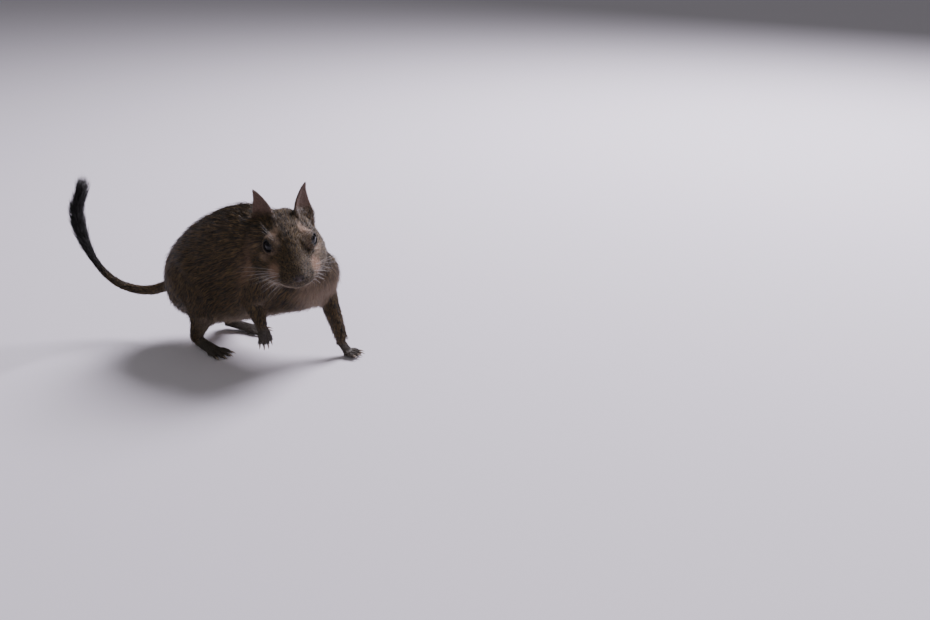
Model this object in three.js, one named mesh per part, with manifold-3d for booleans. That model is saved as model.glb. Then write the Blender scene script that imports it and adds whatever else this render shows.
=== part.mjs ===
// A life-size degu standing on both hind feet and one forepaw, its head turned down to its right.
// Millimetres, +Z up, +X towards the animal's front, +Y to its left.
import * as THREE from "three";
import { mergeVertices } from "three/addons/utils/BufferGeometryUtils.js";
import Module from "manifold-3d";

const wasm = await Module();
wasm.setup();

// Driving dimensions.
const SKIN_GAP = 0.3; // between touching sub-parts
const HEAD_PIVOT = [54, -8, 72.5]; // middle of the head, between the cheeks
const HEAD_YAW = -48; // degrees, towards the animal's right
const HEAD_PITCH = -25; // degrees, nose below the horizon
const HEAD_ROLL = 4; // degrees, left cheek raised
const EYE_RADIUS = 4.1;
const EYE_SEAT = [5.6, 10.4, 5.7]; // in the head's own frame, left eye
const EAR_SEAT = [-8.5, 12, 7.4]; // root of the left ear in the head's own frame
const EAR_LENGTH = 22;
const EAR_ROOT = 6; // sunk in the head
const EAR_WIDTH = 17;
const EAR_THICKNESS = 1.1;
const EAR_LEAN = { left: -10, right: -12 }; // degrees outwards from the head's middle plane
const TAIL_ROOT_RADIUS = 3.5;
const TAIL_CUTS = [0.3, 0.6]; // shares of the tail's length between its three parts
const BRUSH_LOCKS = 26;
const LOCK_LENGTH = 12;
const SKULL_SIDES = 24;
const TOE_RADIUS = 1.3;
const CLAW_LENGTH = 3.2;

const UP = new THREE.Vector3(0, 0, 1);
const at = (point) => new THREE.Vector3(...point);

// A small repeatable random source, from 0 to 1.
function seededRandom(seed) {
  let state = seed;
  return () => {
    state = (state * 1664525 + 1013904223) % 4294967296;
    return state / 4294967296;
  };
}

function bareGeometry(geometry) {
  const bare = geometry.clone();
  bare.deleteAttribute("normal");
  bare.deleteAttribute("uv");
  return mergeVertices(bare, 1e-4);
}

function toSolid(geometry) {
  const merged = bareGeometry(geometry);
  const mesh = new wasm.Mesh({
    numProp: 3,
    vertProperties: new Float32Array(merged.attributes.position.array),
    triVerts: new Uint32Array(merged.index.array),
  });
  return new wasm.Manifold(mesh);
}

function toGeometry(solid) {
  const mesh = solid.getMesh();
  const geometry = new THREE.BufferGeometry();
  geometry.setAttribute("position", new THREE.BufferAttribute(mesh.vertProperties, 3));
  geometry.setIndex(new THREE.BufferAttribute(mesh.triVerts, 1));
  geometry.computeVertexNormals();
  return geometry;
}

const union = (geometries) => geometries.map(toSolid).reduce((sum, solid) => sum.add(solid));

function largestBody(solid) {
  return solid.decompose().reduce((best, body) => (body.volume() > best.volume() ? body : best));
}

// The same closed surface moved outwards by a distance along its normals.
function grown(geometry, distance) {
  const merged = bareGeometry(geometry);
  merged.computeVertexNormals();
  const position = merged.attributes.position;
  const normal = merged.attributes.normal;
  for (let i = 0; i < position.count; i++) {
    position.setXYZ(
      i,
      position.getX(i) + normal.getX(i) * distance,
      position.getY(i) + normal.getY(i) * distance,
      position.getZ(i) + normal.getZ(i) * distance,
    );
  }
  merged.deleteAttribute("normal");
  return merged;
}

// A closed surface through rings of points, with its ends closed by a point in their middle.
function skinRings(rings) {
  const sides = rings[0].length;
  const points = rings.flat();
  const middle = (ring) => ring.reduce((sum, p) => sum.add(p), new THREE.Vector3()).divideScalar(sides);
  points.push(middle(rings[0]), middle(rings[rings.length - 1]));
  const first = points.length - 2;
  const last = points.length - 1;
  const faces = [];
  for (let r = 0; r < rings.length - 1; r++) {
    for (let s = 0; s < sides; s++) {
      const a = r * sides + s;
      const b = r * sides + ((s + 1) % sides);
      faces.push(a, b, b + sides, a, b + sides, a + sides);
    }
  }
  const top = (rings.length - 1) * sides;
  for (let s = 0; s < sides; s++) {
    faces.push(first, (s + 1) % sides, s);
    faces.push(last, top + s, top + ((s + 1) % sides));
  }
  const geometry = new THREE.BufferGeometry().setFromPoints(points);
  geometry.setIndex(faces);
  if (toSolid(geometry).volume() < 0) {
    for (let i = 0; i < faces.length; i += 3) [faces[i], faces[i + 1]] = [faces[i + 1], faces[i]];
    geometry.setIndex(faces);
  }
  return geometry;
}

// Smooth values through a list of stations, each an array of numbers.
function smoothStations(stations, steps) {
  const smooth = [];
  const spans = stations.length - 1;
  for (let i = 0; i <= steps; i++) {
    const place = (i / steps) * spans;
    const span = Math.min(Math.floor(place), spans - 1);
    const t = place - span;
    const pick = (k) => stations[Math.min(Math.max(span + k, 0), spans)];
    smooth.push(
      stations[0].map((_, n) => {
        const [a, b, c, d] = [pick(-1)[n], pick(0)[n], pick(1)[n], pick(2)[n]];
        const bend = 2 * a - 5 * b + 4 * c - d;
        return 0.5 * (2 * b + (c - a) * t + bend * t * t + (3 * b - a - 3 * c + d) * t * t * t);
      }),
    );
  }
  return smooth;
}

// A ring of a rounded section. Fullness 1 is an ellipse, and a smaller value is squarer.
function sectionRing(centre, across, upward, sides, fullness = 1) {
  const ring = [];
  for (let s = 0; s < sides; s++) {
    const angle = (s / sides) * 2 * Math.PI;
    const c = Math.cos(angle);
    const d = Math.sin(angle);
    ring.push(
      centre
        .clone()
        .addScaledVector(across, Math.sign(c) * Math.abs(c) ** fullness)
        .addScaledVector(upward, Math.sign(d) * Math.abs(d) ** fullness),
    );
  }
  return ring;
}

// A trunk along +X from stations [x, y middle, top, bottom, half width].
function trunk(stations, steps, sides, fullness) {
  const rings = smoothStations(stations, steps).map(([x, y, top, bottom, half]) =>
    sectionRing(
      new THREE.Vector3(x, y, (top + bottom) / 2),
      new THREE.Vector3(0, half, 0),
      new THREE.Vector3(0, 0, (top - bottom) / 2),
      sides,
      fullness,
    ),
  );
  return skinRings(rings);
}

// A limb or tail through stations [x, y, z, half width, half depth], rounded off at both ends.
function limb(stations, steps, sides, roundEnds = true) {
  const smooth = smoothStations(stations, steps);
  const path = smooth.map((s) => new THREE.Vector3(s[0], s[1], s[2]));
  const rings = [];
  const along = (i) =>
    path[Math.min(i + 1, path.length - 1)].clone().sub(path[Math.max(i - 1, 0)]).normalize();
  let side = new THREE.Vector3(0, 1, 0);
  const ringAt = (i, shift, shrink) => {
    const forward = along(i);
    side = side.clone().addScaledVector(forward, -side.dot(forward)).normalize();
    const depth = new THREE.Vector3().crossVectors(forward, side);
    const centre = path[i].clone().addScaledVector(forward, shift);
    return sectionRing(
      centre,
      side.clone().multiplyScalar(smooth[i][3] * shrink),
      depth.multiplyScalar(smooth[i][4] * shrink),
      sides,
    );
  };
  const last = path.length - 1;
  if (roundEnds) {
    rings.push(ringAt(0, -0.85 * smooth[0][3], 0.45), ringAt(0, -0.5 * smooth[0][3], 0.85));
  }
  for (let i = 0; i <= last; i++) rings.push(ringAt(i, 0, 1));
  if (roundEnds) {
    rings.push(ringAt(last, 0.5 * smooth[last][3], 0.85), ringAt(last, 0.85 * smooth[last][3], 0.45));
  }
  return skinRings(rings);
}

function ellipsoid(centre, radii, columns = 16, rows = 10) {
  return new THREE.SphereGeometry(1, columns, rows)
    .scale(...radii)
    .translate(...centre);
}

// The torso, with the hunched back, and the neck that carries the head.
function torsoForm() {
  const stations = [
    [-35.5, 0, 42, 33, 4],
    [-33.5, 0, 50, 27, 9],
    [-29, 0, 59.5, 21, 14.5],
    [-20, 0, 69.5, 16, 19.5],
    [-9, 0, 78, 15, 23],
    [3, 0, 84.5, 15.5, 24.5],
    [15, 0, 88.5, 18.5, 24.5],
    [28, 0, 89.5, 22, 23],
    [40, 0.5, 86, 25.5, 21],
    [51, 2, 78, 28.5, 19],
    [61, 4, 70.5, 32, 16.5],
    [68, 5.5, 64, 38, 12.5],
    [72, 6.5, 58, 44, 7],
    [73.6, 6.8, 54, 48, 3],
  ];
  return trunk(stations, 20, 20, 0.94);
}

function neckForm() {
  const stations = [
    [27, 0, 66, 19, 19],
    [36, -2, 69, 19, 18],
    [44, -4.5, 70.5, 18, 17],
    [51, -7, 70, 15.5, 14.5],
  ];
  return limb(stations, 6, 16);
}

// The head in its own frame: +X to the nose, +Y to its left, +Z up.
// Stations [x, top, bottom, half width above, half width at the cheeks].
function skullForm() {
  const stations = [
    [-21, 5.5, -6, 5, 6],
    [-19, 9.5, -11.5, 9, 12.5],
    [-13.5, 12.8, -15.5, 12.5, 18],
    [-6.5, 14.2, -17, 13.6, 21.4],
    [1, 13.8, -17, 13, 21.8],
    [8, 11.8, -17, 11, 20],
    [14.5, 9, -16, 9, 16.6],
    [20, 6.4, -14.2, 7.6, 13],
    [25, 3.8, -11.6, 6, 9.6],
    [28, 1.4, -7.8, 3.8, 5.8],
  ];
  const rings = smoothStations(stations, 16).map(([x, top, bottom, above, below]) => {
    const ring = [];
    for (let s = 0; s < SKULL_SIDES; s++) {
      const angle = (s / SKULL_SIDES) * 2 * Math.PI;
      const height = Math.sin(angle);
      const low = THREE.MathUtils.smoothstep(-height, -0.7, 0.55);
      const half = above + (below - above) * low;
      const c = Math.cos(angle);
      const squareness = 1 - 0.3 * low;
      const z = (top + bottom) / 2 + (height * (top - bottom)) / 2;
      ring.push(new THREE.Vector3(x, half * Math.sign(c) * Math.abs(c) ** squareness, z));
    }
    return ring;
  });
  return skinRings(rings);
}

// The whisker pads, the brows, the nose and the chin.
function muzzleForms() {
  const forms = [
    ellipsoid([26.4, 0, -1.6], [2.9, 3.2, 2.5], 10, 6),
    ellipsoid([15.5, 0, -12.2], [9, 6.6, 4], 12, 8),
  ];
  for (const side of [-1, 1]) {
    forms.push(ellipsoid([19.5, 5 * side, -5.6], [8, 5.8, 5.4], 12, 8));
    forms.push(ellipsoid([2.5, 7.2 * side, 6.2], [10.5, 5, 4.8], 12, 8));
  }
  return forms;
}

const headFrame = new THREE.Matrix4()
  .makeRotationFromEuler(
    new THREE.Euler(
      THREE.MathUtils.degToRad(HEAD_ROLL),
      THREE.MathUtils.degToRad(-HEAD_PITCH),
      THREE.MathUtils.degToRad(HEAD_YAW),
      "ZYX",
    ),
  )
  .setPosition(at(HEAD_PIVOT));

const inHeadFrame = (geometry) => geometry.clone().applyMatrix4(headFrame);

function eyeCentre(side) {
  return [EYE_SEAT[0], EYE_SEAT[1] * side, EYE_SEAT[2]];
}

// The lids: a raised almond rim around each eye.
function lidForm(side) {
  const rim = new THREE.TorusGeometry(EYE_RADIUS * 0.88, 1.1, 6, 16);
  rim.scale(1.12, 0.92, 1);
  const outward = new THREE.Vector3(0.34, 0.88 * side, 0.3).normalize();
  rim.applyQuaternion(new THREE.Quaternion().setFromUnitVectors(UP, outward));
  const seat = at(eyeCentre(side)).addScaledVector(outward, EYE_RADIUS * 0.42);
  return rim.translate(seat.x, seat.y, seat.z);
}

function mouthCut() {
  const stations = [];
  for (let i = -4; i <= 4; i++) {
    const t = i / 4;
    stations.push([27.9 - 7.4 * t * t, 13 * t - 1.7 * t * Math.abs(t), -7.8 - 1.8 * Math.abs(t), 0.7, 0.7]);
  }
  return limb(stations, 10, 5, false);
}

function headSolid() {
  const forms = [skullForm(), ...muzzleForms(), lidForm(-1), lidForm(1)];
  let solid = union(forms.map(inHeadFrame));
  const cuts = [mouthCut(), ellipsoid([27, 0, -5.2], [2.4, 0.4, 2.8], 8, 6)];
  for (const side of [-1, 1]) {
    cuts.push(ellipsoid([28.4, 1.8 * side, -1.4], [1.6, 0.75, 0.95], 10, 6));
  }
  for (const cut of cuts) solid = solid.subtract(toSolid(inHeadFrame(cut)));
  for (const side of [-1, 1]) {
    const socket = ellipsoid(eyeCentre(side), Array(3).fill(EYE_RADIUS + SKIN_GAP), 14, 10);
    solid = solid.subtract(toSolid(inHeadFrame(socket)));
  }
  return largestBody(solid);
}

// An ear: a leaf-shaped cup that leans back and out, open to the front.
function earForm(label, side) {
  const rows = 9;
  const sides = 14;
  const rings = [];
  for (let r = 0; r <= rows; r++) {
    const t = r / rows;
    const half = (EAR_WIDTH / 2) * (0.55 + 0.45 * Math.sin(Math.PI * Math.min(1, t * 1.1 + 0.05)));
    const taper = Math.sqrt(Math.max(0.02, 1 - t ** 2.6));
    const reach = half * taper;
    const curl = 1.25 * (1 - 0.55 * t);
    const ring = [];
    const thick = (EAR_THICKNESS / 2) * (1.3 - 0.6 * t);
    for (let s = 0; s < sides; s++) {
      const around = (s / sides) * 2 * Math.PI;
      const bend = Math.cos(around) * curl;
      const shell = Math.sin(around) * thick * 2;
      const radius = reach / Math.sin(Math.min(curl, 1.45)) + shell;
      ring.push(
        new THREE.Vector3(
          -radius * Math.cos(bend) + reach * 0.6,
          radius * Math.sin(bend),
          t * (EAR_LENGTH + EAR_ROOT) - EAR_ROOT,
        ),
      );
    }
    rings.push(ring);
  }
  const cup = skinRings(rings);
  cup.rotateZ(side * THREE.MathUtils.degToRad(38));
  cup.rotateY(THREE.MathUtils.degToRad(-30));
  cup.rotateX(side * THREE.MathUtils.degToRad(EAR_LEAN[label]));
  return cup.translate(EAR_SEAT[0], EAR_SEAT[1] * side, EAR_SEAT[2]);
}

// A foot: a flat palm, toes in a fan and a claw on each toe.
function footForms(heel, ball, toes, palmWidth, palmDepth, toeLength, spread, drop) {
  const back = at(heel);
  const front = at(ball);
  const forward = front.clone().sub(back).normalize();
  const across = new THREE.Vector3().crossVectors(UP, forward);
  if (across.length() < 0.2) across.set(0.4, -1, 0);
  across.normalize();
  const planted = front.z < 5;
  const ahead = planted ? forward.clone().setZ(0).normalize() : forward;
  const lift = new THREE.Vector3().crossVectors(ahead, across);
  const middle = back.clone().lerp(front, 0.5);
  const station = (p, width, depth) => [p.x, p.y, p.z, width, depth];
  const forms = [
    limb(
      [
        station(back, palmWidth * 0.72, palmDepth * 1.1),
        station(middle, palmWidth * 0.86, palmDepth),
        station(front, palmWidth, palmDepth * 0.92),
      ],
      3,
      10,
    ),
  ];
  for (let t = 0; t < toes; t++) {
    const share = toes > 1 ? (t / (toes - 1)) * 2 - 1 : 0;
    const length = toeLength * (1 - 0.22 * share * share);
    const aim = ahead.clone().addScaledVector(across, share * spread).normalize();
    const root = front
      .clone()
      .addScaledVector(across, share * (palmWidth - TOE_RADIUS * 0.8))
      .addScaledVector(forward, -1.2)
      .addScaledVector(UP, planted ? 1.4 - front.z : 0);
    const knuckle = root.clone().addScaledVector(aim, length * 0.5).addScaledVector(lift, 0.8);
    const tip = root.clone().addScaledVector(aim, length).addScaledVector(lift, -drop);
    forms.push(
      limb(
        [
          station(root, TOE_RADIUS * 1.1, TOE_RADIUS * 1.1),
          station(knuckle, TOE_RADIUS, TOE_RADIUS * 1.05),
          station(tip, TOE_RADIUS * 0.92, TOE_RADIUS * 0.9),
        ],
        3,
        6,
      ),
    );
    const claw = new THREE.ConeGeometry(0.65, CLAW_LENGTH, 5);
    claw.translate(0, CLAW_LENGTH / 2 - 0.6, 0);
    const clawAim = aim.clone().addScaledVector(lift, -0.2).normalize();
    claw.applyQuaternion(
      new THREE.Quaternion().setFromUnitVectors(new THREE.Vector3(0, 1, 0), clawAim),
    );
    const seat = tip.clone().addScaledVector(aim, TOE_RADIUS * 0.6).addScaledVector(lift, 0.3);
    forms.push(claw.translate(seat.x, seat.y, seat.z));
  }
  return forms;
}

const LIMBS = {
  hind_leg_right: [
    [-11, -13.5, 50, 10.5, 16],
    [-5, -16.5, 41, 11, 15.5],
    [-3, -17, 31, 9, 11],
    [-6, -15.5, 20, 5.8, 7.2],
    [-9.5, -15, 12, 4.2, 4.9],
    [-10.5, -15, 8, 3.7, 4.1],
  ],
  hind_leg_left: [
    [-10, 13.5, 50, 10.5, 16],
    [-4, 16.5, 41, 11, 15.5],
    [1, 18, 31, 9, 11.5],
    [-2, 19, 20, 5.4, 7],
    [-9, 19, 12, 3.9, 4.6],
    [-11, 19, 8, 3.5, 3.9],
  ],
  fore_leg_right: [
    [42, -13, 54, 8.5, 11],
    [37, -16, 46, 7.6, 9.5],
    [33.5, -16.8, 38, 5.8, 6.4],
    [36, -17.5, 31, 4.5, 4.8],
    [38, -18, 25.5, 3.6, 3.7],
  ],
  fore_leg_left: [
    [56, 13, 53, 9, 11],
    [60.5, 14.2, 44, 7.8, 9],
    [65, 13.5, 34, 5.8, 6.2],
    [71, 11, 22, 4.3, 4.5],
    [75.5, 9, 12, 3.4, 3.6],
  ],
};

const HIND_FOOT = { toes: 4, size: [4.6, 2.6, 11, 0.24, 0.3] };
const FEET = {
  hind_foot_right: { heel: [-8, -15, 4.6], ball: [4.2, -18.2, 2.1], ...HIND_FOOT },
  hind_foot_left: { heel: [-10, 19, 4.6], ball: [5.5, 20.5, 2.1], ...HIND_FOOT },
  fore_foot_right: {
    heel: [38.4, -18.2, 24],
    ball: [39.8, -18.8, 18.5],
    toes: 4,
    size: [3.7, 2.3, 7, 0.2, 0.4],
  },
  fore_foot_left: {
    heel: [75, 9, 8.4],
    ball: [79.5, 9.4, 2.4],
    toes: 4,
    size: [3.7, 2.2, 7.2, 0.28, 0.3],
  },
};

// The tail leaves the rump low, sweeps back and rises in one round curve.
const TAIL = [
  [-33, 0, 36],
  [-41.5, -1, 31.5],
  [-50, -3.5, 28.8],
  [-59.5, -7, 29.3],
  [-69, -11, 33.5],
  [-77, -14.2, 42],
  [-83, -16.5, 54],
  [-86, -18, 67],
  [-86.3, -18.2, 79],
  [-83.4, -17, 89.5],
];

function tailCurve() {
  return new THREE.CatmullRomCurve3(TAIL.map(at), false, "centripetal");
}

function tailRadius(t) {
  return TAIL_ROOT_RADIUS * (1 - 0.42 * Math.min(1, t * 1.6)) - 0.9 * Math.max(0, t - 0.62);
}

function tailForm() {
  const curve = tailCurve();
  const steps = 20;
  const stations = [];
  for (let i = 0; i <= steps; i++) {
    const p = curve.getPointAt(i / steps);
    stations.push([p.x, p.y, p.z, tailRadius(i / steps), tailRadius(i / steps)]);
  }
  return limb(stations, steps, 10);
}

// Half a gap is taken off square to the tail at a share of its length. Side 1 keeps the tip.
function cutTail(solid, share, side) {
  const curve = tailCurve();
  const facing = curve.getTangentAt(share).multiplyScalar(side);
  return solid.trimByPlane(facing.toArray(), curve.getPointAt(share).dot(facing) + SKIN_GAP / 2);
}

// One flat, tapered lock that leaves the tail and bends back along it.
function lockForm(curve, t, turn, length, lift, width) {
  const steps = 2;
  const rings = [];
  for (let i = 0; i <= steps; i++) {
    const share = i / steps;
    const place = Math.min(0.999, t + (share * length) / curve.getLength());
    const over = t + (share * length) / curve.getLength() - place;
    const forward = curve.getTangentAt(place);
    const base = curve.getPointAt(place).addScaledVector(forward, over * curve.getLength());
    const first = new THREE.Vector3().crossVectors(forward, UP).normalize();
    const second = new THREE.Vector3().crossVectors(forward, first);
    const out = first.multiplyScalar(Math.cos(turn)).addScaledVector(second, Math.sin(turn));
    const across = new THREE.Vector3().crossVectors(forward, out);
    const root = tailRadius(place) * 0.45;
    const centre = base.addScaledVector(out, root + lift * share ** 0.8);
    const taper = Math.max(0.1, 1 - share ** 1.6);
    rings.push(
      sectionRing(
        centre,
        across.multiplyScalar(width * taper),
        out.clone().multiplyScalar(Math.max(0.25, 0.62 * taper)),
        4,
      ),
    );
  }
  return skinRings(rings);
}

function brushSolid(tail) {
  const curve = tailCurve();
  const from = TAIL_CUTS[1];
  const random = seededRandom(7);
  const locks = [];
  for (let n = 0; n < BRUSH_LOCKS; n++) {
    const share = n / (BRUSH_LOCKS - 1);
    const t = from + 0.035 + (0.985 - from - 0.035) * share;
    const turn = n * 2.4 + 0.5 * random();
    const length = LOCK_LENGTH * (0.75 + 0.5 * share) * (0.85 + 0.3 * random());
    locks.push(lockForm(curve, t, turn, length, 2.6 * (0.8 + 0.5 * random()), 1.5));
  }
  return tail.add(union(locks));
}

const MATERIALS = {
  coat: new THREE.MeshStandardMaterial({ color: 0x3a3026, roughness: 0.85, metalness: 0 }),
  ear_skin: new THREE.MeshStandardMaterial({ color: 0x5a4a40, roughness: 0.7, metalness: 0 }),
  eye: new THREE.MeshStandardMaterial({ color: 0x070505, roughness: 0.08, metalness: 0 }),
  paw: new THREE.MeshStandardMaterial({ color: 0x3c3631, roughness: 0.7, metalness: 0 }),
  tail_brush: new THREE.MeshStandardMaterial({ color: 0x17130f, roughness: 0.8, metalness: 0 }),
};

const degu = new THREE.Group();

function place(name, solid, material) {
  const mesh = new THREE.Mesh(toGeometry(largestBody(solid)), MATERIALS[material]);
  mesh.name = name;
  degu.add(mesh);
}

function buildDegu() {
  const clear = (geometry) => toSolid(grown(geometry, SKIN_GAP));
  const skullGrown = [skullForm(), ...muzzleForms()]
    .map((form) => clear(inHeadFrame(form)))
    .reduce((sum, form) => sum.add(form));
  const torso = torsoForm();
  const tail = toSolid(tailForm());

  let torsoSolid = toSolid(torso).subtract(skullGrown);
  const legs = {};
  for (const [name, stations] of Object.entries(LIMBS)) {
    legs[name] = limb(stations, 9, 14);
    torsoSolid = torsoSolid.subtract(clear(legs[name]));
  }
  torsoSolid = torsoSolid.subtract(clear(tailForm()));
  place("torso", torsoSolid, "coat");

  let neck = toSolid(neckForm()).subtract(clear(torso)).subtract(skullGrown);
  const rightEye = ellipsoid(eyeCentre(-1), Array(3).fill(EYE_RADIUS), 14, 10);
  for (const form of [lidForm(-1), rightEye]) neck = neck.subtract(clear(inHeadFrame(form)));
  for (const leg of Object.values(legs)) neck = neck.subtract(clear(leg));
  place("neck", neck, "coat");

  const head = headSolid();
  place("head", head, "coat");
  for (const [label, side] of [["left", 1], ["right", -1]]) {
    const eye = ellipsoid(eyeCentre(side), Array(3).fill(EYE_RADIUS), 14, 10);
    place("eye_" + label, toSolid(inHeadFrame(eye)), "eye");
    const ear = toSolid(inHeadFrame(earForm(label, side)))
      .subtract(skullGrown)
      .subtract(clear(torso))
      .subtract(clear(neckForm()));
    place("ear_" + label, ear, "ear_skin");
  }

  for (const [name, foot] of Object.entries(FEET)) {
    const forms = footForms(foot.heel, foot.ball, foot.toes, ...foot.size);
    const leg = legs[name.replace("foot", "leg")];
    const paw = union(forms).subtract(clear(leg)).trimByPlane([0, 0, 1], 0);
    place(name, paw, "paw");
  }
  for (const [name, leg] of Object.entries(legs)) {
    place(name, toSolid(leg).subtract(skullGrown).trimByPlane([0, 0, 1], 0), "coat");
  }

  place("tail_base", cutTail(tail, TAIL_CUTS[0], -1), "coat");
  place("tail_middle", cutTail(cutTail(tail, TAIL_CUTS[0], 1), TAIL_CUTS[1], -1), "coat");
  place("tail_brush", cutTail(brushSolid(tail), TAIL_CUTS[1], 1), "tail_brush");
}

buildDegu();

// The origin is the middle of the floor area below the whole animal.
const extent = new THREE.Box3().setFromObject(degu);
const middle = extent.getCenter(new THREE.Vector3());
for (const mesh of degu.children) mesh.geometry.translate(-middle.x, -middle.y, -extent.min.z);

export default degu;
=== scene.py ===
"""A life-size degu in the photograph's pose: one skin with a coat of fine tufts over it."""

import math

import bpy
import numpy as np
import openvdb as vdb
from mathutils import Matrix, Vector


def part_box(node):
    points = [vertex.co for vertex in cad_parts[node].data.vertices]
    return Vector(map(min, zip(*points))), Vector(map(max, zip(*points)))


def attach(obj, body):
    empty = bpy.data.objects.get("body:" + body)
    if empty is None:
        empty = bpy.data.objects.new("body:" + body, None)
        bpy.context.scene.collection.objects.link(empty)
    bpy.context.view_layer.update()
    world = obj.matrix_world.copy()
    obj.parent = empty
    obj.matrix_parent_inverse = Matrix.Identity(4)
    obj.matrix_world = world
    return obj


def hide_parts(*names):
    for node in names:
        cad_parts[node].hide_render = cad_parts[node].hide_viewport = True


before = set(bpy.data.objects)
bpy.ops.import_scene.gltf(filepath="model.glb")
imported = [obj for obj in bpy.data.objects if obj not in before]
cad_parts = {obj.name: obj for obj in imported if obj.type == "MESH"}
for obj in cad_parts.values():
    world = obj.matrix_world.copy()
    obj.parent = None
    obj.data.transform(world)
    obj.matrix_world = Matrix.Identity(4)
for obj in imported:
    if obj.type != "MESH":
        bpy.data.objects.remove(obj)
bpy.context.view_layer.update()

# Sizes are in millimetres. Shape numbers use a working frame whose origin is the floor between the
# hind feet, or the head's own frame: +X to the nose, +Y to its left, +Z up.
MM = 0.001
VOXEL = 0.42  # spacing of the distance fields
BAND = 13  # voxels kept on each side of a surface
SKIN_TRIANGLES = 150000
PIECE_LIMIT = 19000  # tufts in one piece of the coat
SEED = 7
HEAD_PIVOT = np.array([54.0, -8.0, 72.5])
HEAD_YAW, HEAD_PITCH, HEAD_ROLL = -48.0, -25.0, 4.0
EYE_RADIUS = 4.1
EYE_SEAT = np.array([5.6, 10.4, 5.7])  # left eye, in the head's frame
EYE_OUTWARD = (0.5, 0.8, 0.32)
EYE_SLANT = np.array([1.0, 0.0, -0.18])
LID_OPENING = (3.3, 2.75)  # half length and half height
LID_THICKNESS = 0.5
NOSE_SEAT = np.array([26.4, 0.0, -1.6])
NOSE_SIZE = np.array([2.7, 3.1, 2.4])
NOSTRIL_SEAT = (28.9, 1.75, -1.7)
NOSTRIL_SIZE = np.array([2.0, 0.8, 1.15])
EAR_SEAT = np.array([-8.5, 12.0, 7.4])  # root of the left ear, in the head's frame
EAR_UP = np.array([-0.5, 0.17, 0.85])
TAIL_RADIUS = 3.3
TOE_RADIUS = 1.3
CLAW_LENGTH = 3.2
CAMERA_PLACE = np.array([358.1, -493.8, 249.0])
CAMERA_AZIMUTH, CAMERA_DROP = 22.0, 21.04
CAMERA_LENS = 40.26

rng = np.random.default_rng(SEED)


def unit(v):
    return v / np.maximum(np.linalg.norm(v, axis=-1, keepdims=True), 1e-9)


def turn(axis, degrees):
    c, s = math.cos(math.radians(degrees)), math.sin(math.radians(degrees))
    rows = {
        "x": [[1, 0, 0], [0, c, -s], [0, s, c]],
        "y": [[c, 0, s], [0, 1, 0], [-s, 0, c]],
        "z": [[c, -s, 0], [s, c, 0], [0, 0, 1]],
    }
    return np.array(rows[axis])


HEAD_TURN = turn("z", HEAD_YAW) @ turn("y", -HEAD_PITCH) @ turn("x", HEAD_ROLL)


def from_head(p):
    """Points in the head's own frame (+X nose, +Y left, +Z up), in the working frame."""
    return np.atleast_2d(p) @ HEAD_TURN.T + HEAD_PIVOT


def to_head(p):
    """Points in the working frame, in the head's own frame."""
    return (np.atleast_2d(p) - HEAD_PIVOT) @ HEAD_TURN


def left_half(head):
    """Points in the head's frame, with those on its right mirrored to its left."""
    return np.stack([head[:, 0], np.abs(head[:, 1]), head[:, 2]], 1)


eye_low, eye_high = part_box("eye_left")
eye_row = (np.array(eye_low) + np.array(eye_high)) / 2 / MM
SHIFT = eye_row - from_head(EYE_SEAT)[0]
EYES = {side: from_head(EYE_SEAT * (1, sign, 1))[0] for side, sign in (("left", 1), ("right", -1))}


def smoothstep(low, high, x):
    t = np.clip((x - low) / (high - low), 0, 1)
    return t * t * (3 - 2 * t)


def blob(p, centre, radii):
    """1 at the centre of an ellipsoid, falling to 0 outside it."""
    d = np.sqrt((((p - np.array(centre)) / np.array(radii)) ** 2).sum(-1))
    return 1 - smoothstep(0.45, 1.25, d)


def ripple(p, scale, seed):
    """Smooth noise from -1 to 1, from a few crossed waves."""
    waves = np.random.default_rng(seed)
    total = np.zeros(len(p))
    for _ in range(5):
        direction = unit(waves.normal(size=3)) / scale * waves.uniform(0.7, 1.5)
        total += np.sin(p @ direction * 2 * math.pi + waves.uniform(0, 6.28))
    return total / 3


# Level sets of the flesh.

GROUPS = {
    "torso": ["torso", "neck"],
    "head": ["head"],
    "legs": ["hind_leg_right", "hind_leg_left", "fore_leg_right", "fore_leg_left"],
    "feet": ["hind_foot_right", "hind_foot_left", "fore_foot_right", "fore_foot_left"],
    "ears": ["ear_left", "ear_right"],
    "tail": ["tail_base", "tail_middle", "tail_brush"],
}
# How deep the skin lies inside the solids, and the fillets that join each group to the torso.
COAT_DEPTH = {"torso": 1.5, "head": 0.7, "legs": 0.8, "feet": 0.12, "ears": 0.0, "tail": 0.45}
FILLET = {"legs": 5.0, "head": 5.0, "tail": 3.0, "feet": 3.0, "ears": 2.0}
FINE_BLUR = 0.45
TORSO_BLUR = 1.7

flesh = [n for names in GROUPS.values() for n in names]
corners = np.array([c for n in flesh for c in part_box(n)]) / MM
FIRST = np.floor(corners.min(0) / VOXEL).astype(int) - 8
SHAPE = tuple(np.ceil(corners.max(0) / VOXEL).astype(int) + 8 - FIRST)
TRANSFORM = vdb.createLinearTransform(VOXEL)


def mesh_arrays(mesh):
    mesh.calc_loop_triangles()
    points = np.zeros(len(mesh.vertices) * 3, np.float32)
    mesh.vertices.foreach_get("co", points)
    faces = np.zeros(len(mesh.loop_triangles) * 3, np.int32)
    mesh.loop_triangles.foreach_get("vertices", faces)
    return points.reshape(-1, 3) / MM, faces.reshape(-1, 3)


def distance_field(points, faces):
    grid = vdb.FloatGrid.createLevelSetFromPolygons(
        np.ascontiguousarray(points, np.float32),
        triangles=np.ascontiguousarray(faces, np.uint32),
        transform=TRANSFORM,
        halfWidth=BAND,
    )
    field = np.full(SHAPE, BAND * VOXEL, np.float32)
    grid.copyToArray(field, ijk=tuple(int(i) for i in FIRST))
    return field


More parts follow.
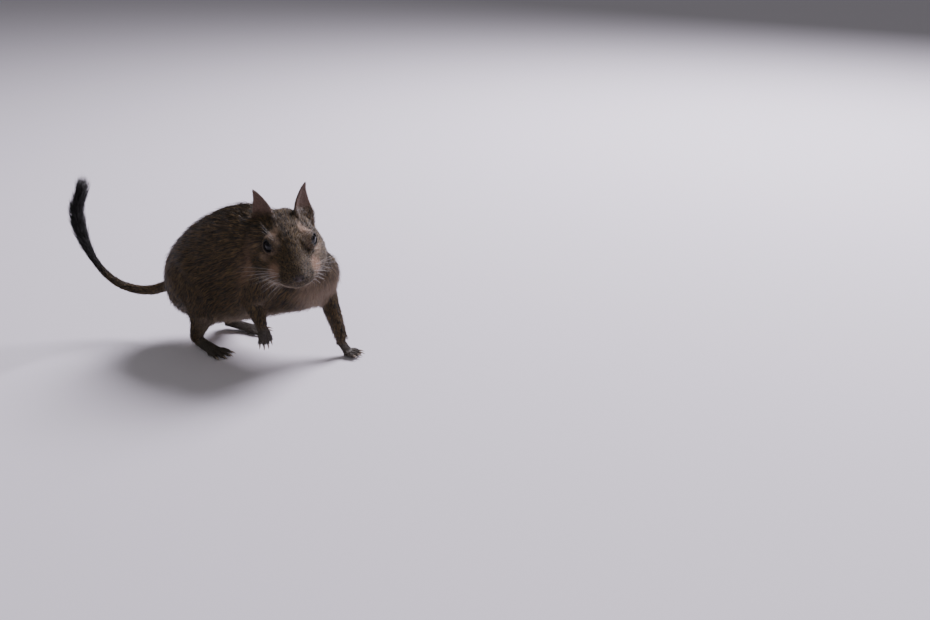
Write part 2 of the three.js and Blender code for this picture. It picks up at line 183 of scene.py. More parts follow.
def surface(field):
    """Triangles of the field's zero surface, facing outwards."""
    grid = vdb.FloatGrid(float(BAND * VOXEL))
    grid.transform = TRANSFORM
    grid.copyFromArray(np.ascontiguousarray(field, np.float32), ijk=tuple(int(i) for i in FIRST))
    points, faces, quads = grid.convertToPolygons(isovalue=0.0, adaptivity=0.0)
    quads = np.asarray(quads, int).reshape(-1, 4)
    faces = np.concatenate([np.asarray(faces, int).reshape(-1, 3), quads[:, [0, 1, 2]], quads[:, [0, 2, 3]]])
    points = np.asarray(points, float)
    a, b, c = (points[faces[:, k]] for k in range(3))
    if (a * np.cross(b, c)).sum() < 0:
        faces = faces[:, ::-1]
    return points, faces


def merged(first, second, reach):
    """The union of two fields with a fillet of that reach."""
    h = np.maximum(reach - np.abs(first - second), 0) / reach
    return np.minimum(first, second) - h * h * (reach / 4)


def blurred(field, sigma):
    spread = sigma / VOXEL
    r = int(3 * spread) + 1
    kernel = np.exp(-0.5 * (np.arange(-r, r + 1) / spread) ** 2)
    kernel /= kernel.sum()
    for axis in range(3):
        padded = np.pad(field, [(r, r) if k == axis else (0, 0) for k in range(3)], mode="edge")
        total = np.zeros_like(field)
        for i, weight in enumerate(kernel):
            cut = [slice(None)] * 3
            cut[axis] = slice(i, i + field.shape[axis])
            total += np.float32(weight) * padded[tuple(cut)]
        field = total
    return field


def sample(field, points):
    """Values of a field at points in the row's millimetres."""
    place = points / VOXEL - FIRST
    cell = np.clip(np.floor(place).astype(int), 0, np.array(SHAPE) - 2)
    t = (place - cell).astype(np.float32)
    total = np.zeros(len(points), np.float32)
    for corner in range(8):
        step = np.array([corner & 1, corner >> 1 & 1, corner >> 2 & 1])
        weight = np.prod(np.where(step, t, 1 - t), axis=1)
        i, j, k = (cell + step).T
        total += weight * field[i, j, k]
    return total


def window(low, high):
    """The part of the grid between two points, and the working-frame place of each of its samples."""
    a = np.maximum(np.floor((low + SHIFT) / VOXEL).astype(int) - FIRST, 0)
    b = np.minimum(np.ceil((high + SHIFT) / VOXEL).astype(int) - FIRST, SHAPE)
    axes = [(np.arange(a[k], b[k]) + FIRST[k]) * VOXEL - SHIFT[k] for k in range(3)]
    places = np.stack(np.meshgrid(*axes, indexing="ij"), -1)
    return tuple(slice(a[k], b[k]) for k in range(3)), places


TAIL_LINE = np.array(
    [
        [-33, 0, 36],
        [-41.5, -1, 31.5],
        [-50, -3.5, 28.8],
        [-59.5, -7, 29.3],
        [-69, -11, 33.5],
        [-77, -14.2, 42],
        [-83, -16.5, 54],
        [-86, -18, 67],
        [-86.3, -18.2, 79],
        [-83.4, -17, 89.5],
    ]
)


def curve_through(points, count):
    """Evenly spread points on a smooth curve through the given ones."""
    p = np.vstack([2 * points[0] - points[1], points, 2 * points[-1] - points[-2]])
    out = []
    for i in range(1, len(p) - 2):
        a, b, c, d = p[i - 1 : i + 3]
        for t in np.linspace(0, 1, 30, endpoint=False):
            out.append(
                0.5
                * (2 * b + (c - a) * t + (2 * a - 5 * b + 4 * c - d) * t**2 + (3 * b - a - 3 * c + d) * t**3)
            )
    out = np.array(out + [points[-1]])
    length = np.concatenate([[0], np.cumsum(np.linalg.norm(np.diff(out, axis=0), axis=1))])
    spread = np.linspace(0, length[-1], count)
    return np.stack([np.interp(spread, length, out[:, k]) for k in range(3)], 1)


TAIL_POINTS = curve_through(TAIL_LINE, 200)


def tail_field(radius_at):
    """The distance to a round tail along its curve."""
    margin = 9
    cut, places = window(TAIL_POINTS.min(0) - margin, TAIL_POINTS.max(0) + margin)
    best = np.full(places.shape[:3], 1e3, np.float32)
    for i in range(0, len(TAIL_POINTS), 2):
        d = np.linalg.norm(places - TAIL_POINTS[i], axis=-1) - radius_at(i / (len(TAIL_POINTS) - 1))
        np.minimum(best, d, out=best)
    field = np.full(SHAPE, BAND * VOXEL, np.float32)
    field[cut] = np.clip(best, -BAND * VOXEL, BAND * VOXEL)
    return field


fields = {}
for group, names in GROUPS.items():
    if group == "tail":
        fields[group] = tail_field(lambda t: TAIL_RADIUS - 1.5 * min(1.0, t * 1.5))
        continue
    for name in names:
        field = distance_field(*mesh_arrays(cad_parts[name].data))
        fields[group] = np.minimum(fields[group], field) if group in fields else field

whole = fields["torso"]
for group, reach in FILLET.items():
    whole = merged(whole, fields[group], reach)
whole = distance_field(*surface(whole))

# The skin: the joined body moved inwards by the coat's depth, and smoothed most on the torso.
weight_sum = np.zeros(SHAPE, np.float32)
depth = np.zeros(SHAPE, np.float32)
torso_share = np.zeros(SHAPE, np.float32)
for group, field in fields.items():
    weight = np.exp(-np.clip(field, -1, 5) / 0.8)
    weight_sum += weight
    depth += weight * COAT_DEPTH[group]
    if group == "torso":
        torso_share = weight.copy()
depth /= weight_sum
torso_share /= weight_sum
body = whole + depth
del whole, depth, weight_sum
fine = blurred(body, FINE_BLUR)
coarse = blurred(body, TORSO_BLUR)
skin_field = fine + (coarse - fine) * torso_share
del fine, coarse, torso_share, body


def eye_axes(side):
    """The eye's centre and its outward, lengthwise and upward directions in the head's frame."""
    outward = unit(np.array(EYE_OUTWARD) * (1, side, 1))
    along = unit(EYE_SLANT - outward * np.dot(EYE_SLANT, outward))
    return EYE_SEAT * (1, side, 1), outward, along, np.cross(outward, along) * side


def opening_edge(a, u):
    """The distance from the edge of an eye's opening, below 0 inside it."""
    return np.hypot(a * LID_OPENING[1] / LID_OPENING[0], u) - LID_OPENING[1]


def lid_gap(head):
    """The distance from the edge of the nearer eye opening, and from the eye's ball."""
    edge, ball = np.full(len(head), 99.0), np.full(len(head), 99.0)
    for side in (1, -1):
        centre, outward, along, upward = eye_axes(side)
        local = head - centre
        reach = opening_edge(local @ along, local @ upward)
        near = np.linalg.norm(local, axis=1) - EYE_RADIUS
        facing = (local @ outward > 0) & (near < 2.5)
        edge = np.where(facing, np.minimum(edge, reach), edge)
        ball = np.minimum(ball, near)
    return edge, ball


def carve_face(field):
    """Lids, eye openings, nostrils and the mouth line."""
    reach = 34
    rim_radius, rim_blend, ball_blend, hole_depth = 0.4, 0.8, 2.5, 1.1
    cut, places = window(HEAD_PIVOT - reach, HEAD_PIVOT + reach)
    flat = to_head(places.reshape(-1, 3))
    part = field[cut].copy()

    def shaped(values):
        return np.clip(values, -3, 5).reshape(part.shape).astype(np.float32)

    for side in (1, -1):
        centre, outward, along, upward = eye_axes(side)
        local = flat - centre
        o = local @ outward
        radius = np.linalg.norm(local, axis=1)
        edge = opening_edge(local @ along, local @ upward)
        ball = shaped(radius - EYE_RADIUS - LID_THICKNESS)
        rim = np.hypot(edge, radius - EYE_RADIUS - LID_THICKNESS * 0.7) - rim_radius
        part = merged(merged(part, ball, ball_blend), shaped(np.where(o > 0, rim, 3)), rim_blend)
        hole = np.maximum(np.maximum(edge, -o), EYE_RADIUS - hole_depth - radius)
        part = np.maximum(part, -shaped(hole))
    nose = (np.linalg.norm((flat - NOSE_SEAT) / NOSE_SIZE, axis=1) - 1) * NOSE_SIZE[2]
    part = merged(part, shaped(nose), 1.2)
    for side in (1, -1):
        slot = (flat - np.array(NOSTRIL_SEAT) * (1, side, 1)) @ turn("x", 35 * side)
        slot = (np.linalg.norm(slot / NOSTRIL_SIZE, axis=1) - 1) * NOSTRIL_SIZE[1]
        part = np.maximum(part, -shaped(slot))
    x, y, z = flat.T
    philtrum = np.maximum(np.hypot(x - 28.2, y * 3.2) - 1.1, np.abs(z + 5.6) - 2.4)
    part = np.maximum(part, -shaped(philtrum))
    half_mouth = 11.3
    t = np.clip(np.abs(y) / half_mouth, 0, 1.1)
    mouth = np.hypot((x - (27.4 - 7.4 * t**2)) * 0.45, z - (-7.8 - 1.8 * t))
    mouth = mouth - 0.55 * (1.1 - t).clip(0, 1) ** 0.5
    part = np.maximum(part, -shaped(np.where(np.abs(y) > half_mouth + 1.2, 3, mouth)))
    field[cut] = part
    return field


skin_field = carve_face(skin_field)
points, faces = surface(skin_field)
del skin_field

# The skin's mesh.


def new_mesh(name, points, faces):
    mesh = bpy.data.meshes.new(name)
    mesh.vertices.add(len(points))
    mesh.vertices.foreach_set("co", np.ascontiguousarray(points, np.float32).ravel())
    mesh.loops.add(faces.size)
    mesh.loops.foreach_set("vertex_index", np.ascontiguousarray(faces, np.int32).ravel())
    mesh.polygons.add(len(faces))
    mesh.polygons.foreach_set("loop_start", np.arange(0, faces.size, 3, dtype=np.int32))
    mesh.polygons.foreach_set("loop_total", np.full(len(faces), 3, np.int32))
    mesh.update()
    mesh.validate()
    mesh.polygons.foreach_set("use_smooth", np.full(len(mesh.polygons), True))
    return mesh


def add_piece(name, mesh, material, replaces=()):
    piece = bpy.data.objects.new(name, mesh)
    bpy.context.scene.collection.objects.link(piece)
    piece.data.materials.append(material)
    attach(piece, "root")
    if replaces:
        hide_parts(*replaces)
    return piece


rough = bpy.data.objects.new("rough_skin", new_mesh("rough_skin", points * MM, faces))
bpy.context.scene.collection.objects.link(rough)
thin = rough.modifiers.new("thin", "DECIMATE")
thin.ratio = min(1.0, SKIN_TRIANGLES / len(faces))
skin_mesh = bpy.data.meshes.new_from_object(rough.evaluated_get(bpy.context.evaluated_depsgraph_get()))
bpy.data.objects.remove(rough)
skin_mesh.name = "skin"


def keep_largest(mesh):
    """Drops loose scraps of the skin."""
    points, faces = mesh_arrays(mesh)
    label = np.arange(len(points))
    while True:
        low = label[faces].min(1)
        before = label.copy()
        for k in range(3):
            np.minimum.at(label, faces[:, k], low)
        label = label[label]
        if (label == before).all():
            break
    names, counts = np.unique(label[faces[:, 0]], return_counts=True)
    kept = faces[label[faces[:, 0]] == names[counts.argmax()]]
    used = np.unique(kept)
    index = np.zeros(len(points), int)
    index[used] = np.arange(len(used))
    return new_mesh("skin", points[used] * MM, index[kept])


skin_mesh = keep_largest(skin_mesh)
skin_points, skin_faces = mesh_arrays(skin_mesh)
skin_points = skin_points.astype(float)
normal_list = np.zeros(len(skin_points) * 3, np.float32)
skin_mesh.vertices.foreach_get("normal", normal_list)
skin_normals = normal_list.reshape(-1, 3).astype(float)

# How much of each group lies at each point of the skin.
nearest = np.stack([sample(field, skin_points) for field in fields.values()], 1)
foot_gap = nearest[:, list(fields).index("feet")].astype(float)
shares = np.exp(-np.clip(nearest, -2, 6) / 0.7)
shares /= shares.sum(1, keepdims=True)
GROUP_NAMES = list(fields)
fields.clear()

# Colours. Each is linear red, green and blue.

DARK = np.array([0.010, 0.009, 0.007])
BAND_BROWN = np.array([0.165, 0.110, 0.050])
UMBER = np.array([0.028, 0.022, 0.013])
CREAM = np.array([0.520, 0.410, 0.310])
TAN = np.array([0.420, 0.265, 0.175])
PAW_GREY = np.array([0.080, 0.070, 0.058])
EAR_DUSK = np.array([0.070, 0.052, 0.044])
EAR_WARM = np.array([0.140, 0.084, 0.062])
BLACK = np.array([0.010, 0.009, 0.009])
NOSE = np.array([0.050, 0.036, 0.033])


def mix(a, b, t):
    return a + (b - a) * np.asarray(t)[..., None]


def markings(place, normal, share):
    """Pale, tan and black shares of the coat at points in the working frame."""
    head = to_head(place)
    sided = left_half(head)
    on_head = share["head"]
    brow = blob(sided, [2.4, 8.8, 10.6], [2.7, 4.9, 2.5])
    under_eye = blob(sided, [9.0, 13.6, -0.8], [4.6, 3.2, 1.8]) * 0.55
    muzzle = blob(sided, [17.6, 11.2, -3.4], [4.4, 4.0, 5.6]) * 0.85
    chin = smoothstep(-10.5, -14.0, head[:, 2]) * 0.8
    lips = blob(sided, [23.5, 6.5, -9.2], [5.0, 5.5, 1.9]) * 0.6
    behind_ear = blob(sided, [-11.0, 15.0, 1.0], [5.0, 4.0, 5.0]) * 0.35
    edge, ball = lid_gap(head)
    ring = smoothstep(3.4, 1.6, ball) * smoothstep(0.4, 1.2, edge) * 0.15
    pale_head = np.clip(brow + under_eye * 0.5 + ring * 0.3 + chin + lips, 0, 1) * on_head
    tan = np.clip(muzzle + brow * 0.5 + under_eye * 0.5 + ring + behind_ear, 0, 1) * on_head
    x, y, z = place.T
    band = np.exp(-(((x - 37 - 0.12 * (z - 50)) / 5.0) ** 2)) * smoothstep(82, 60, z) * 0.55
    belly = smoothstep(-0.45, -0.85, normal[:, 2]) * smoothstep(45, 25, z) * 0.8
    chest = smoothstep(56, 66, x) * smoothstep(64, 46, z) * 0.5
    pale_body = np.clip(belly + chest, 0, 1) * share["torso"]
    tan = np.clip(tan + (band + chest * 0.4) * share["torso"], 0, 1)
    inner_leg = smoothstep(-0.2, -0.7, normal[:, 2]) * share["legs"] * 0.5
    pale = np.clip(pale_head + pale_body + inner_leg, 0, 1)
    t = np.clip(tail_share(place), 0, 1)
    black = share["tail"] * smoothstep(0.30, 0.62, t)
    dorsal = smoothstep(0.55, 0.95, normal[:, 2]) * share["torso"] * 0.35
    return pale, tan, black, dorsal


def tail_share(place):
    """How far along the tail each point lies, from 0 to 1."""
    best = np.full(len(place), 1e9)
    t = np.zeros(len(place))
    for i in range(0, len(TAIL_POINTS), 4):
        d = ((place - TAIL_POINTS[i]) ** 2).sum(1)
        nearer = d < best
        best[nearer] = d[nearer]
        t[nearer] = i / (len(TAIL_POINTS) - 1)
    return t


def ear_tones(normal):
    """Warm inside the cup of an ear, and dusky outside it."""
    inside = smoothstep(-0.1, 0.45, to_head(normal + HEAD_PIVOT)[:, 0])
    return mix(np.tile(EAR_DUSK, (len(normal), 1)), EAR_WARM, inside)


def share_table(weights):
    return {name: weights[:, k] for k, name in enumerate(GROUP_NAMES)}


def skin_colour(place, normal, share):
    pale, tan, black, dorsal = markings(place, normal, share)
    colour = np.tile(UMBER * 0.7, (len(place), 1))
    colour = mix(colour, CREAM * 0.6, pale)
    colour = mix(colour, TAN * 0.7, tan)
    colour = mix(colour, BLACK, np.clip(black + dorsal * 0.5, 0, 1))
    colour = mix(colour, PAW_GREY, share["feet"])
    head = to_head(place)
    colour = mix(colour, ear_tones(normal), share["ears"])
    nose = blob(head, [28.8, 0, -1.4], [2.6, 3.0, 2.4]) * share["head"]
    colour = mix(colour, NOSE, nose)
    edge, ball = lid_gap(head)
    return mix(colour, BLACK * 1.6, smoothstep(0.9, 0.4, edge) * share["head"])


skin_place = skin_points - SHIFT
skin_share = share_table(shares)
tint = skin_colour(skin_place, skin_normals, skin_share) * (1 + 0.12 * ripple(skin_place, 3.0, 5))[:, None]


def paint(mesh, colours):
    layer = mesh.color_attributes.new("coat", "FLOAT_COLOR", "POINT")
    rgba = np.ones((len(colours), 4), np.float32)
    rgba[:, :3] = np.clip(colours, 0, 1)
    layer.data.foreach_set("color", rgba.ravel())


paint(skin_mesh, tint)


def coat_material(name, roughness, specular, bump=0.0):
    """A material coloured by the mesh's own colours, with a fine grain where bump is set."""
    made = bpy.data.materials.new(name)
    made.use_nodes = True
    nodes, links = made.node_tree.nodes, made.node_tree.links
    shader = nodes["Principled BSDF"]
    shader.inputs["Roughness"].default_value = roughness
    shader.inputs["Specular IOR Level"].default_value = specular
    colour = nodes.new("ShaderNodeAttribute")
    colour.attribute_name = "coat"
    links.new(colour.outputs["Color"], shader.inputs["Base Color"])
    if bump:
        place = nodes.new("ShaderNodeTexCoord")
        noise = nodes.new("ShaderNodeTexNoise")
        noise.inputs["Scale"].default_value = 900
        noise.inputs["Detail"].default_value = 4
        lift = nodes.new("ShaderNodeBump")
        lift.inputs["Strength"].default_value = bump
        lift.inputs["Distance"].default_value = 0.0003
        links.new(place.outputs["Object"], noise.inputs["Vector"])
        links.new(noise.outputs["Fac"], lift.inputs["Height"])
        links.new(lift.outputs["Normal"], shader.inputs["Normal"])
    return made


def plain_material(name, colour, roughness, specular=0.5):
    made = bpy.data.materials.new(name)
    made.use_nodes = True
    shader = made.node_tree.nodes["Principled BSDF"]
    shader.inputs["Base Color"].default_value = (*colour, 1)
    shader.inputs["Roughness"].default_value = roughness
    shader.inputs["Specular IOR Level"].default_value = specular
    return made


skin_material = coat_material("skin", 0.62, 0.35, bump=0.5)
fur_material = coat_material("fur", 0.5, 0.55)
brush_material = coat_material("brush", 0.5, 0.5)

skin = add_piece("skin", skin_mesh, skin_material, flesh)

skin_mesh.uv_layers.new(name="OFBake")
bpy.context.view_layer.objects.active = skin
for o in bpy.context.selected_objects:
    o.select_set(False)
skin.select_set(True)
bpy.ops.object.mode_set(mode="EDIT")
bpy.ops.mesh.select_all(action="SELECT")
bpy.ops.uv.smart_project(angle_limit=math.radians(60), island_margin=0.002)
bpy.ops.object.mode_set(mode="OBJECT")
skin_uv = np.zeros(len(skin_mesh.loops) * 2, np.float32)
skin_mesh.uv_layers["OFBake"].data.foreach_get("uv", skin_uv)
skin_uv = skin_uv.reshape(-1, 3, 2)

# The lie of the coat.


def lie_of_coat(place, normal, share):
    """The way the hair points at each place, before it is laid on the surface."""
    head = to_head(place)
    cheek = smoothstep(4, -6, head[:, 2])
    apart = 0.25 * np.tanh(head[:, 1] / 5)
    on_head = np.stack([-np.ones(len(place)), apart, 0.18 - 0.75 * cheek], 1) @ HEAD_TURN.T
    x, y, z = place.T
    flank = smoothstep(0.85, 0.1, normal[:, 2])
    rump = smoothstep(-10, -34, x)
    front = smoothstep(52, 68, x)
    backwards = -(1 - 0.45 * rump) * (1 - 0.5 * front)
    on_torso = np.stack([backwards, 0 * x, -0.5 * flank - 0.9 * rump - 0.9 * front], 1)
    on_leg = np.stack([-0.25 * np.ones(len(place)), 0 * x, -np.ones(len(place))], 1)
    on_foot = np.stack([np.ones(len(place)), 0 * x, -0.5 * np.ones(len(place))], 1)
    ear_side = np.where(head[:, 1:2] < 0, -1, 1)
    on_ear = unit(EAR_UP * np.concatenate([ear_side**2, ear_side, ear_side**2], 1)) @ HEAD_TURN.T
    t = tail_share(place) * (len(TAIL_POINTS) - 1)
    i = np.clip(t.astype(int), 0, len(TAIL_POINTS) - 2)
    on_tail = unit(TAIL_POINTS[i + 1] - TAIL_POINTS[i])
    ways = {"head": on_head, "torso": on_torso, "legs": on_leg, "feet": on_foot}
    ways = {name: unit(way) for name, way in ways.items()} | {"ears": on_ear, "tail": on_tail}
    return sum(way * share[name][:, None] for name, way in ways.items())


# Tufts for a square millimetre, their length and width, and their lift in degrees.
DENSITY = {"torso": 4.4, "head": 11.0, "legs": 5.6, "feet": 9.0, "ears": 5.5, "tail": 7.0}
LENGTH = {"torso": 9.0, "head": 4.6, "legs": 4.2, "feet": 1.9, "ears": 1.15, "tail": 3.0}
WIDTH = {"torso": 0.46, "head": 0.33, "legs": 0.36, "feet": 0.22, "ears": 0.15, "tail": 0.32}
LIFT = {"torso": 12.0, "head": 13.0, "legs": 12.0, "feet": 10.0, "ears": 9.0, "tail": 13.0}
LOOSE_SHARE = 0.14  # tufts that stand out from the coat
CAP_LIFT = 62.0  # more lift on the tail's round end, so that its hair goes on along the tail


def pick(table, share):
    return sum(table[name] * share[name] for name in GROUP_NAMES)


corners = skin_points[skin_faces]
areas = np.linalg.norm(np.cross(corners[:, 1] - corners[:, 0], corners[:, 2] - corners[:, 0]), axis=1) / 2
face_share = {name: values[skin_faces].mean(1) for name, values in skin_share.items()}
wanted = areas * pick(DENSITY, face_share)
count = rng.poisson(wanted)
chosen = np.repeat(np.arange(len(skin_faces)), count)
a, b = rng.random(len(chosen)), rng.random(len(chosen))
flip = a + b > 1
a[flip], b[flip] = 1 - a[flip], 1 - b[flip]
bary = np.stack([1 - a - b, a, b], 1)


def spread_over(values, index):
    return (values[index[chosen]] * bary[..., None]).sum(1)


root = spread_over(skin_points, skin_faces)
normal = unit(spread_over(skin_normals, skin_faces))
root_uv = (skin_uv[chosen] * bary[..., None]).sum(1)
weights = spread_over(shares, skin_faces)
foot_gap = spread_over(foot_gap[:, None], skin_faces)[:, 0]
place = root - SHIFT
share = share_table(weights)
region = weights.argmax(1)

head_place = to_head(place)
lid_edge, eye_gap = lid_gap(head_place)
nose_bare = blob(head_place, [28.9, 0, -1.6], [2.9, 3.3, 2.7])
sole = (normal[:, 2] < -0.55) & (place[:, 2] < 5)
keep = (eye_gap > -0.2) & (lid_edge > 0.42) & (rng.random(len(root)) > nose_bare * 1.4) & ~sole
keep &= ~((share["feet"] > 0.5) & (normal[:, 2] < -0.4))
root, normal, root_uv, place, region, weights, foot_gap = (
    v[keep] for v in (root, normal, root_uv, place, region, weights, foot_gap)
)
eye_gap, lid_edge, head_place = eye_gap[keep], lid_edge[keep], head_place[keep]
share = share_table(weights)

length = pick(LENGTH, share)
width = pick(WIDTH, share)
lift = pick(LIFT, share)
snout = smoothstep(6, 26, head_place[:, 0]) * share["head"]
brow_short = smoothstep(5.0, 0.6, eye_gap) * share["head"]
lid_short = smoothstep(2.4, 0.4, lid_edge) * share["head"]
length *= 1 - 0.68 * snout
length *= 1 - 0.5 * brow_short
length *= 1 - 0.55 * lid_short
width *= 1 - 0.35 * np.maximum(snout, brow_short)
foot_near = smoothstep(5.2, 0.5, foot_gap) * share["legs"]
length *= 1 - 0.55 * foot_near
lift *= 1 - 0.5 * foot_near
sided = left_half(head_place)
ear_height = (sided - EAR_SEAT) @ unit(EAR_UP)
ear_root = smoothstep(9, 1, ear_height) * share["ears"]
ear_foot = blob(sided, EAR_SEAT, [9.0, 7.5, 6.0]) * share["head"]
length += 2.6 * ear_root + 1.6 * ear_foot
width += 0.1 * ear_root
lift += 8 * (ear_root + ear_foot)
tip_share = tail_share(place)
brush = smoothstep(0.5, 0.75, tip_share) * share["tail"]
tail_tip = smoothstep(0.86, 1.0, tip_share) * share["tail"]
length = length + brush * 7.5 + tail_tip * 2.0
width = width + brush * 0.12
lift = lift + brush * 9 - tail_tip * 9
jitter = rng.normal(size=(len(root), 3))
wave = np.stack([ripple(place, 7, 11), ripple(place, 7, 12), ripple(place, 7, 13)], 1)
way = lie_of_coat(place, normal, share) + 0.10 * jitter + 0.16 * wave
eye_places = np.stack(list(EYES.values()))
nearer_eye = eye_places[np.linalg.norm(place[:, None] - eye_places, axis=2).argmin(1)]
away = unit(place - nearer_eye)
way += away * (1.1 * brow_short * smoothstep(6, 1, eye_gap))[:, None]
outward = (way * normal).sum(1)
tail_cap = smoothstep(0.4, 0.9, outward) * share["tail"]
way = unit(way - normal * outward[:, None])
length *= rng.uniform(0.75, 1.2, len(root))
width *= rng.uniform(0.8, 1.2, len(root))
lift *= rng.uniform(0.55, 1.5, len(root))
lift += CAP_LIFT * tail_cap
loose = (rng.random(len(root)) < LOOSE_SHARE) & (share["feet"] + share["ears"] < 0.5)
lift[loose] += rng.uniform(8, 24, loose.sum()) * (1 - 0.6 * brush[loose])
width[loose] *= 0.6
lift = np.radians(lift)

# Hair colours: the root, the band near the tip and the tip itself.
pale, tan, black, dorsal = markings(place, normal, share)
banded = rng.random(len(root)) < 0.56
base = np.tile(DARK, (len(root), 1))
middle = np.where(banded[:, None], BAND_BROWN * rng.uniform(0.55, 1.5, (len(root), 1)), UMBER * 0.6)
tip = np.where(rng.random(len(root))[:, None] < 0.62, DARK, BAND_BROWN * 0.8)
for target, amount in ((CREAM, pale), (TAN, tan)):
    tone = target * rng.uniform(0.7, 1.15, (len(root), 1))
    middle = mix(middle, tone, amount)
    tip = mix(tip, tone * 0.95, amount)
    base = mix(base, tone * 0.45, amount)
dark_share = np.clip(black + dorsal * (rng.random(len(root)) < 0.6), 0, 1)
base, middle, tip = (mix(c, BLACK, dark_share) for c in (base, middle, tip))
tones = PAW_GREY * rng.uniform(0.7, 1.6, (len(root), 1))
base, middle, tip = (mix(c, tones, share["feet"] * 0.85) for c in (base, middle, tip))
tones = ear_tones(normal) * rng.uniform(0.6, 1.4, (len(root), 1))
ear_upper = share["ears"] * (1 - ear_root)
base, middle = (mix(c, tones, ear_upper * 0.85) for c in (base, middle))
tip = mix(tip, np.where(rng.random(len(root))[:, None] < 0.45, CREAM * 0.8, tones), ear_upper * 0.9)


TUFT_FACES = np.array(
    [[0, 2, 1], [0, 1, 4], [0, 4, 3], [1, 2, 5], [1, 5, 4]]
    + [[2, 0, 3], [2, 3, 5], [3, 4, 6], [4, 5, 6], [5, 3, 6]]
)
TUFT_PATCH = 0.003 * np.array([[-0.5, 0], [0.5, 0], [0, 0.05], [-0.4, 0.5], [0.4, 0.5], [0, 0.55], [0, 1]])
TUFT_ROOT = 0.3  # how far a tuft starts under the skin
FLOOR_GAP = 0.02


def tuft_mesh(name, pick_out):
    """Flat tapered tufts of ten triangles each, rooted in the skin."""
    r, n, w = root[pick_out], normal[pick_out], way[pick_out]
    size, half, rise = length[pick_out], width[pick_out] / 2, lift[pick_out]
    across = np.cross(n, w)
    c, s = np.cos(rise)[:, None], np.sin(rise)[:, None]
    at = size[:, None]
    start = r - n * TUFT_ROOT
    middle_at = r + w * at * 0.5 * c + n * at * 0.5 * s
    end = r + w * at * c + n * at * s * 0.62
    h = half[:, None]
    rows = [
        start - across * h,
        start + across * h,
        start + n * h * 0.9,
        middle_at - across * h * 0.9,
        middle_at + across * h * 0.9,
        middle_at + n * h * 0.8,
        end,
    ]
    points = np.stack(rows, 1).reshape(-1, 3)
    points[:, 2] = np.maximum(points[:, 2], FLOOR_GAP)
    faces = (np.arange(len(r))[:, None, None] * len(rows) + TUFT_FACES).reshape(-1, 3)
    mesh = new_mesh(name, points * MM, faces)
    colours = np.stack([base[pick_out]] * 3 + [middle[pick_out]] * 3 + [tip[pick_out]], 1).reshape(-1, 3)
    paint(mesh, colours)
    uv = mesh.uv_layers.new(name="OFBake")
    spots = (root_uv[pick_out][:, None, :] + TUFT_PATCH - (0, 0.0015)).reshape(-1, 2)
    uv.data.foreach_set("uv", spots[faces.reshape(-1)].astype(np.float32).ravel())
    return mesh


for index, group in enumerate(GROUP_NAMES):
    members = np.flatnonzero(region == index)
    members = members[rng.permutation(len(members))]
    total = max(1, math.ceil(len(members) / PIECE_LIMIT))
    for part, chunk in enumerate(np.array_split(members, total)):
        name = f"coat_{group}_{part + 1}"
        chosen_material = brush_material if group == "tail" else fur_material
        add_piece(name, tuft_mesh(name, chunk), chosen_material)

# The eyes.

eye_material = plain_material("eye", (0.004, 0.003, 0.003), 0.09, 0.3)
for side, centre in EYES.items():
    bpy.ops.mesh.primitive_uv_sphere_add(segments=48, ring_count=24, radius=EYE_RADIUS * MM)
    eye = bpy.context.active_object
    eye.name = f"eyeball_{side}"
    eye.data.transform(Matrix.Translation((centre + SHIFT) * MM))
    eye.data.materials.append(eye_material)
    bpy.ops.object.shade_smooth()
    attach(eye, "root")
    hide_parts(f"eye_{side}")


def strand(path, radii, sides):
    """A closed tapered tube through points."""
    path = np.asarray(path, float)
    forward = unit(np.gradient(path, axis=0))
    side = unit(np.cross(forward, [0.13, 0.21, 0.97]))
    other = np.cross(forward, side)
    angles = np.linspace(0, 2 * math.pi, sides, endpoint=False)
    rings = [
        p + r * (np.cos(angles)[:, None] * s + np.sin(angles)[:, None] * o)
        for p, r, s, o in zip(path, radii, side, other)
    ]
    points = np.concatenate(rings + [path[:1], path[-1:]])
    faces = []
    for i in range(len(path) - 1):
        for k in range(sides):
            a, b = i * sides + k, i * sides + (k + 1) % sides
            faces += [[a, b, b + sides], [a, b + sides, a + sides]]
    first, last, top = len(points) - 2, len(points) - 1, (len(path) - 1) * sides
    for k in range(sides):
        faces += [[first, (k + 1) % sides, k], [last, top + k, top + (k + 1) % sides]]
    return points, np.array(faces)


def joined(name, strands):
    points, faces, start = [], [], 0
    for p, f in strands:
        points.append(p)
        faces.append(f + start)
        start += len(p)
    return new_mesh(name, (np.concatenate(points) + SHIFT) * MM, np.concatenate(faces))


